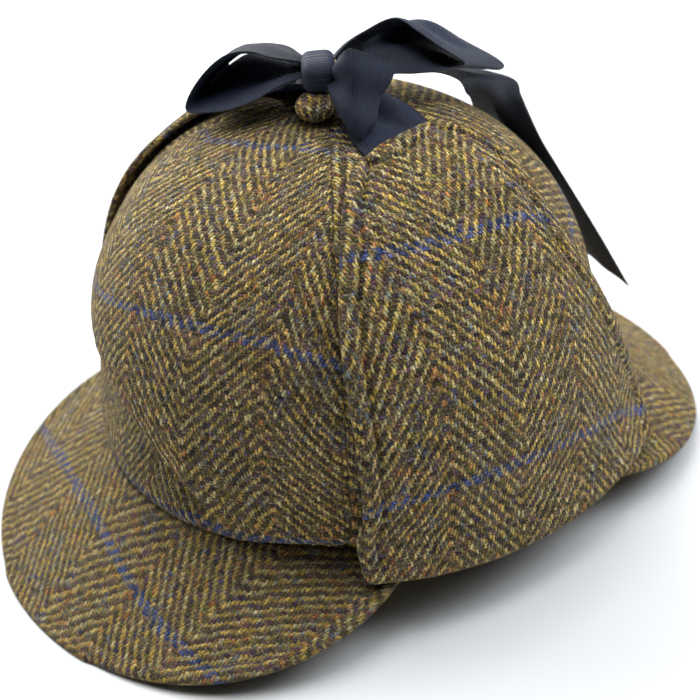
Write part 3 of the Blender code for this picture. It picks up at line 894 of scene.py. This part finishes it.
def bill(name, facing, tweed):
    """A bill with a turned edge: facing is 1 for the front one and -1 for the rear one."""
    edge = BILL_THICKNESS / 2
    across = spread(*BILL_COLUMNS)[None, :]
    share = spread(*BILL_ROWS)[:, None]
    azimuth = (1 - 2 * across) * BILL_HALF_ANGLE * (BILL_END_SHARE - BILL_EDGE_SHARE)
    slope = bill_slope(azimuth)
    # It reaches further in below the crown's fold.
    start = edge - BILL_REACH_IN - SEAM_FOLD_DEPTH * seam_fold(azimuth) * (facing > 0)
    reach = np.maximum(bill_width(azimuth) - edge, start)
    width = mix(start, reach, share)
    outward = opening_outward(azimuth) * (1, 1, 0)
    outer = opening_point(azimuth) + outward * (width * np.cos(slope))[..., None]
    from_rim = (reach - width) / MM
    relief = wave(np.degrees(azimuth), width / MM, *BILL_WAVE) + humps(from_rim, BILL_RIM_RELIEF)
    outer[..., 2] += relief * MM - width * np.sin(slope)
    outer[..., 2] = np.maximum(outer[..., 2], BILL_THICKNESS * math.cos(BILL_SLOPE_MIDDLE))
    flat = opening_point(azimuth)[..., :2] + outward[..., :2] * width[..., None]
    flat = flat * (1, -1) - np.array(BILL_WEAVE_START) * MM
    u, v = turned(flat[..., 0], flat[..., 1], BILL_WEAVE_TURN)
    droop = BILL_DROOP * np.maximum(u - BILL_DROOP_START, 0) ** 2
    u, v = u - BILL_SHIFT - BILL_SKEW * v, v + droop
    if facing < 0:
        outer = outer[:, ::-1] * (1, -1, 1)
        u, v = turned(u[:, ::-1], v[:, ::-1], REAR_BILL_WEAVE_TURN)
        v = v - REAR_BILL_WEAVE_START
    piece = shell(name, outer, vec(u, -v), BILL_THICKNESS, floor=True)
    dress(piece, tweed, "tweed", name)


# ---- the ear flaps

# The cloth is a little narrower and askew here, and its crosswise yarns droop at the edges.
FLAP_WEAVE_START = (43.7858 * MM, -41 * MM)
FLAP_STRETCH = 1.108
FLAP_SKEW = 0.065
FLAP_DROOP = 3.0
FLAP_DROOP_MIDDLE = -20.6 * MM
# The hem begins above the fold. Its groove is deepest along the front edge, and shallow on the
# right flap.
FLAP_HEM_RELIEF = ((0.5, 3.0, 2.5), (-1.0, 6.8, 1.0))
FLAP_HEM_BEGINS = (2, 12)
FRONT_GROOVE = 2.2
FLAP_FRONT = (-0.1, 0.6)
RIGHT_GROOVE = 0.25
# The mesh, as for the bills, and places on the curves that it follows.
FLAP_COLUMNS = (110, 12 * MM, 0.12)
FLAP_STEPS = (190, 12 * MM, 0.2)
CURVE_PLACES = 900


def flap_controls(place, side):
    """The flap's rows, from its lip through the fold to the tip, at places -1 to 1 across."""
    half = np.where(place < 0, *FLAP_HALF_ANGLES)
    azimuth = FLAP_AZIMUTH + place * half
    out, down = (through_three(*column, place) * MM for column in zip(*FLAP_FOLD))

    def above_bills(row_out, row_down):
        row_down = np.maximum(row_down, FLAP_BILL_CLEARANCE - bill_drop(azimuth, row_out))
        return (opening_point(azimuth) + opening_outward(azimuth) * row_out[:, None]
                + vec(0, 0, row_down))

    rows = []
    for index in range(FLAP_LIP_ROWS):
        share = index / FLAP_LIP_ROWS
        rows.append(above_bills(mix(FLAP_LIP_START[0], out + FLAP_LIP_END[0], share),
                                mix(FLAP_LIP_START[1], down + FLAP_LIP_END[1], share)))
    for step_out, step_down in FLAP_FOLD_STEPS:
        rows.append(above_bills(out + step_out * MM, down + step_down * MM))
    for row, right_stand in zip(FLAP_ROWS, RIGHT_FLAP_STAND):
        front_climb, front_half, mid_climb, rear_climb, rear_half = row[:5]
        edge_climb = np.where(place < 0, front_climb, rear_climb)
        half_width = np.where(place < 0, front_half, rear_half)
        climb = mix(mid_climb, edge_climb, place * place)
        row_azimuth = FLAP_AZIMUTH + np.arcsin(place * half_width * MM / crown_radius(climb))
        stand = through_three(*row[5:], place) * MM * (1 if side > 0 else right_stand)
        rows.append(crown_point(row_azimuth, climb)
                    + crown_outward(row_azimuth, climb) * stand[:, None])
    return np.array(rows)


def ear_flap(name, side, tweed):
    """An ear flap turned up against the crown: side is 1 on the wearer's left, -1 on the right."""
    across = 2 * spread(*FLAP_COLUMNS) - 1
    controls = flap_controls(across, side)
    # Lay the rows at even lengths along the flap's middle.
    curve_places = np.linspace(0, len(controls) - 1, CURVE_PLACES)
    along = lengths(spline(controls, curve_places), 0)
    middle = along[:, along.shape[1] // 2]
    places = np.interp(spread(*FLAP_STEPS) * middle[-1], middle, curve_places)
    outer = spline(controls, places)
    sideways, upwards = lengths(outer, 1), lengths(outer, 0)
    centre = sideways.shape[1] // 2
    u = sideways - sideways[:, centre:centre + 1]
    fold_row = int(np.argmin(np.abs(places - (FLAP_LIP_ROWS + 1))))
    v = upwards - upwards[fold_row:fold_row + 1]
    from_side = np.minimum(sideways, sideways[:, -1:] - sideways)
    from_edge = np.minimum(from_side, upwards[-1:] - upwards) / MM
    above_fold = rise(v / MM, *FLAP_HEM_BEGINS)
    groove = mix(1.0, FRONT_GROOVE, rise(-across, *FLAP_FRONT))
    relief = groove * humps(from_edge, FLAP_HEM_RELIEF)
    relief = relief * above_fold * (1 if side > 0 else RIGHT_GROOVE)
    outer = outer + grid_normals(outer) * relief[..., None] * MM
    droop = FLAP_DROOP * (u - FLAP_DROOP_MIDDLE) ** 2
    weave = vec(FLAP_STRETCH * u - FLAP_SKEW * v, v + droop) + FLAP_WEAVE_START
    if side < 0:
        outer = (outer * (-1, 1, 1))[:, ::-1]
        weave = weave[:, ::-1] * (-1, 1)
    piece = shell(name, outer, weave, FLAP_THICKNESS)
    dress(piece, tweed, "tweed", name)


# ---- the button and the bow

# The angles round the button and the knot, and the rows of their grids.
AROUND = np.linspace(0, 2 * np.pi, 97)[None, :]
BUTTON_ROWS = 40
KNOT_ROWS = 33
GATHERS = 14
GATHER_DEPTH = 0.035
GATHER_PLACE = (-0.1, 0.7)
BUTTON_STRETCH = 0.9


def top_button(tweed):
    """The covered button: tweed drawn over a flattened ball and gathered beneath."""
    turns = np.linspace(-QUARTER, QUARTER, BUTTON_ROWS)[:, None]
    depth = GATHER_DEPTH * rise(-np.sin(turns), *GATHER_PLACE)
    gathers = 1 - (1 + np.cos(GATHERS * AROUND)) * depth
    radius = BUTTON_RADIUS * np.cos(turns) * gathers
    height = BUTTON_HALF_HEIGHT * np.sin(turns)
    points = vec(radius * np.cos(AROUND), radius * np.sin(AROUND), height)
    stretch = (QUARTER - turns) * BUTTON_RADIUS * BUTTON_STRETCH
    weave = vec(stretch * np.sin(AROUND), stretch * np.cos(AROUND))
    centre = np.array(BUTTON_CENTRE) * MM + (0, 0, OPENING_HEIGHT)
    piece = wrapped("top_button_cloth", points + centre, weave + BUTTON_WEAVE_START)
    dress(piece, tweed, "tweed", "top_button")


RIBBON_COLUMNS = (26, 4 * MM, RIBBON_WIDTH)
STEPS_PER_ROW = 12
# Where the rails come closer than the ribbon is wide, it gathers in soft pleats.
PLEATS = 3
PLEAT_SLACK = 0.375
LAID_PLEATS = 0.85
FREE_PLEATS = 0.34
PLEAT_FADE = 0.4


def creased(rows, crease):
    """A smooth run through the rows, with a sharp fold at one of them where a crease is given."""
    parts = (rows,) if crease is None else (rows[:crease + 1], rows[crease:])
    runs = []
    for part in parts:
        last = len(part) - 1
        runs.append(spline(part, np.linspace(0, last, last * STEPS_PER_ROW + 1)))
    return np.concatenate([runs[0]] + [run[1:] for run in runs[1:]])


def ribbon_piece(name, table, ribbon, held, crease=None):
    """A length of ribbon between a table's near and far rails, laid on the crown or free."""
    laid = held == "laid"
    rails = creased(np.array(table) * MM, crease)
    near, far = rails[:, :3], rails[:, 3:]
    across = spread(*RIBBON_COLUMNS)[None, :, None]
    outer = mix(near[:, None], far[:, None], across)
    outer = outer + np.array(BOW_CENTRE) * MM + (0, 0, OPENING_HEIGHT)
    chord = np.linalg.norm(near - far, axis=-1)[:, None]
    slack = np.sqrt(PLEAT_SLACK * np.maximum(RIBBON_WIDTH / chord - 1, 0))
    height = (LAID_PLEATS if laid else FREE_PLEATS) * chord / PLEATS * slack
    half_turn = np.pi * across[..., 0]
    pleat = height * np.sin(PLEATS * half_turn) * np.sin(half_turn) ** PLEAT_FADE
    outer = outer + grid_normals(outer) * pleat[..., None]
    if laid:
        over = crown_height(outer[..., 0], outer[..., 1]) + STRAP_STANDOFF
        outer[..., 2] = np.maximum(outer[..., 2], over)
    # The ribbon's own length is counted squarely to its ribs, which lie along the table's rows.
    rib = unit(far - near)[:-1]
    step = np.diff((near + far) / 2, axis=0)
    square = step - rib * np.sum(step * rib, axis=-1, keepdims=True)
    middle = np.concatenate([[0], np.cumsum(np.linalg.norm(square, axis=-1))])
    weave = vec(across[..., 0] * RIBBON_WIDTH, middle[:, None])
    outer = outer + grid_normals(outer) * RIBBON_THICKNESS / 2
    piece = shell(name, outer, weave, RIBBON_THICKNESS, rings=4)
    dress(piece, ribbon, "grosgrain", name)


KNOT_BOXINESS = 3.2
# The knot's ends narrow by a share, along this power of the way to them.
NARROWING = 0.35
NARROWING_POWER = 5
KNOT_WEAVE_START = 8 * MM
KNOT_WEAVE_RADIUS = 7 * MM


def ribbon_knot(ribbon):
    """The knot: one turn of ribbon drawn tight, boxy, with its ribs level."""
    along = np.linspace(-1, 1, KNOT_ROWS)[:, None]
    half_x, half_y, half_z = (size * MM for size in KNOT_HALF_SIZE)
    neck = 1 - np.abs(along) ** NARROWING_POWER * NARROWING
    power = 2 / KNOT_BOXINESS
    y = np.sign(np.cos(AROUND)) * np.abs(np.cos(AROUND)) ** power * half_y * neck
    z = np.sign(np.sin(AROUND)) * np.abs(np.sin(AROUND)) ** power * half_z * neck
    turn = np.array(Matrix.Rotation(KNOT_TURN, 3, "Z"))
    centre = (np.array(BOW_CENTRE) + KNOT_CENTRE) * MM + (0, 0, OPENING_HEIGHT)
    points = vec(along * half_x, y, z) @ turn.T + centre
    weave = vec((along + 1) * half_x + KNOT_WEAVE_START, AROUND * KNOT_WEAVE_RADIUS)
    piece = wrapped("ribbon_knot_wrap", points, weave, inward=True)
    dress(piece, ribbon, "grosgrain", "ribbon_knot")


# ---- floor, lights, camera

# The floor's reach in metres.
FAR = 6
FLOOR_COLOUR = (0.80, 0.82, 0.85, 1)
FLOOR_ROUGHNESS = 0.9


def make_floor():
    """A plain pale floor."""
    mesh = bpy.data.meshes.new("floor")
    corners = [(-FAR, -FAR, 0), (FAR, -FAR, 0), (FAR, FAR, 0), (-FAR, FAR, 0)]
    mesh.from_pydata(corners, [], [(0, 1, 2, 3)])
    pale = bpy.data.materials.new("pale_floor")
    pale.use_nodes = True
    shader = pale.node_tree.nodes["Principled BSDF"]
    shader.inputs["Base Color"].default_value = FLOOR_COLOUR
    shader.inputs["Roughness"].default_value = FLOOR_ROUGHNESS
    mesh.materials.append(pale)
    floor = add_object("floor", mesh)


# The soft lights, with their places in metres.
#   name, place, watts, colour
SOFT_LIGHTS = (
    ("overhead", (0, 0, 2), 23, (1.0, 0.98, 0.94)),
    ("back_left", (-0.9, 0.2, 1.6), 14, (1.0, 0.97, 0.92)),
    ("left", (-1.6, 0.3, 0.9), 33, (1.0, 0.98, 0.94)),
    ("low_left", (-1.3, -0.6, 1.0), 13, (0.90, 0.97, 1.0)),
    ("right", (0.7, 1.1, 1.5), 28, (0.95, 0.98, 1.0)),
)
LIGHT_SIZE = 1.2
LIGHT_AIM = Vector((0, 0, 0.08))
SURROUND_COLOUR = (0.80, 0.92, 1.0, 1)
SURROUND_STRENGTH = 0.03


def make_studio():
    """Soft light from above, behind and the sides, and a faint even surround."""
    for name, place, watts, colour in SOFT_LIGHTS:
        lamp = bpy.data.lights.new(name, "AREA")
        lamp.size = LIGHT_SIZE
        lamp.energy = watts
        lamp.color = colour
        light = add_object(name, lamp)
        light.location = place
        light.rotation_euler = (LIGHT_AIM - Vector(place)).to_track_quat("-Z", "Y").to_euler()
    world = bpy.data.worlds.new("surround")
    world.use_nodes = True
    background = world.node_tree.nodes["Background"]
    background.inputs["Color"].default_value = SURROUND_COLOUR
    background.inputs["Strength"].default_value = SURROUND_STRENGTH
    bpy.context.scene.world = world
    bpy.context.scene.view_settings.view_transform = "Standard"


# The camera stands at the photograph's angle: a long lens, tilted a little clockwise.
CAMERA_BACK = Vector((0.683, -0.437, 0.585))
CAMERA_RIGHT = Vector((0.539, 0.842, 0.0))
CAMERA_PLACE = Vector((0.6285, -0.3987, 0.5941))
CAMERA_ROLL = math.radians(-5.4815)
CAMERA_LENS = 119.93
CAMERA_SENSOR = 36
# It is sharp at the near flap, and the far side of the hat is a little soft.
FOCUS_PLACE = (0.06, -0.04, 0.10)
CAMERA_STOP = 13.0


def make_camera():
    """The photograph's view."""
    back = CAMERA_BACK.normalized()
    right = (CAMERA_RIGHT - back * CAMERA_RIGHT.dot(back)).normalized()
    lens = bpy.data.cameras.new("camera")
    lens.lens = CAMERA_LENS
    lens.sensor_width = CAMERA_SENSOR
    lens.dof.use_dof = True
    focus = add_object("focus", None)
    focus.location = FOCUS_PLACE
    lens.dof.focus_object = focus
    lens.dof.aperture_fstop = CAMERA_STOP
    camera = add_object("camera", lens)
    level = Matrix((right, back.cross(right), back)).transposed()
    turn = level @ Matrix.Rotation(CAMERA_ROLL, 3, "Z")
    camera.matrix_world = Matrix.Translation(CAMERA_PLACE) @ turn.to_4x4()
    bpy.context.scene.camera = camera


# ---- the scene

def build():
    """Make every piece of the hat."""
    tweed = tweed_material("tweed", 1.15, 0.7)
    # The bills' cloth is pressed flat over a stiffener, so its yarns take less painted shade, and
    # the whole of it is painted darker as shade.
    pressed_shaded_tweed = tweed_material("pressed_shaded_tweed", 0.62, 0.5)
    ribbon = grosgrain_material()
    crown_panel("crown_front_panel", 0, END_PANEL_SPAN, tweed)
    crown_panel("crown_left_panel", QUARTER, SIDE_PANEL_SPAN, tweed)
    crown_panel("crown_rear_panel", math.pi, END_PANEL_SPAN, tweed)
    crown_panel("crown_right_panel", -QUARTER, SIDE_PANEL_SPAN, tweed)
    bill("front_bill", 1, pressed_shaded_tweed)
    bill("rear_bill", -1, pressed_shaded_tweed)
    ear_flap("left_ear_flap", 1, tweed)
    ear_flap("right_ear_flap", -1, tweed)
    top_button(tweed)
    ribbon_knot(ribbon)
    ribbon_piece("ribbon_side_loop", SIDE_LOOP_ROWS, ribbon, "folded")
    ribbon_piece("ribbon_rear_loop", REAR_LOOP_ROWS, ribbon, "folded")
    ribbon_piece("ribbon_front_tail", FRONT_TAIL_ROWS, ribbon, "folded", crease=3)
    ribbon_piece("ribbon_rear_tail", REAR_TAIL_ROWS, ribbon, "hung")
    ribbon_piece("left_flap_strap", LEFT_STRAP_ROWS, ribbon, "laid")
    ribbon_piece("right_flap_strap", RIGHT_STRAP_ROWS, ribbon, "laid")


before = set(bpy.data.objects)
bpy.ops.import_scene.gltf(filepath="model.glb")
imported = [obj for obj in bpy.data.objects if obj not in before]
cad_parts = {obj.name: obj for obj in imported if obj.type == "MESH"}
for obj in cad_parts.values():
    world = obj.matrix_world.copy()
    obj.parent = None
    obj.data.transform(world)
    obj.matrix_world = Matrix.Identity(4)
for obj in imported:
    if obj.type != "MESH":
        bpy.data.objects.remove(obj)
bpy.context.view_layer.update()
make_camera()
make_floor()
make_studio()
build()
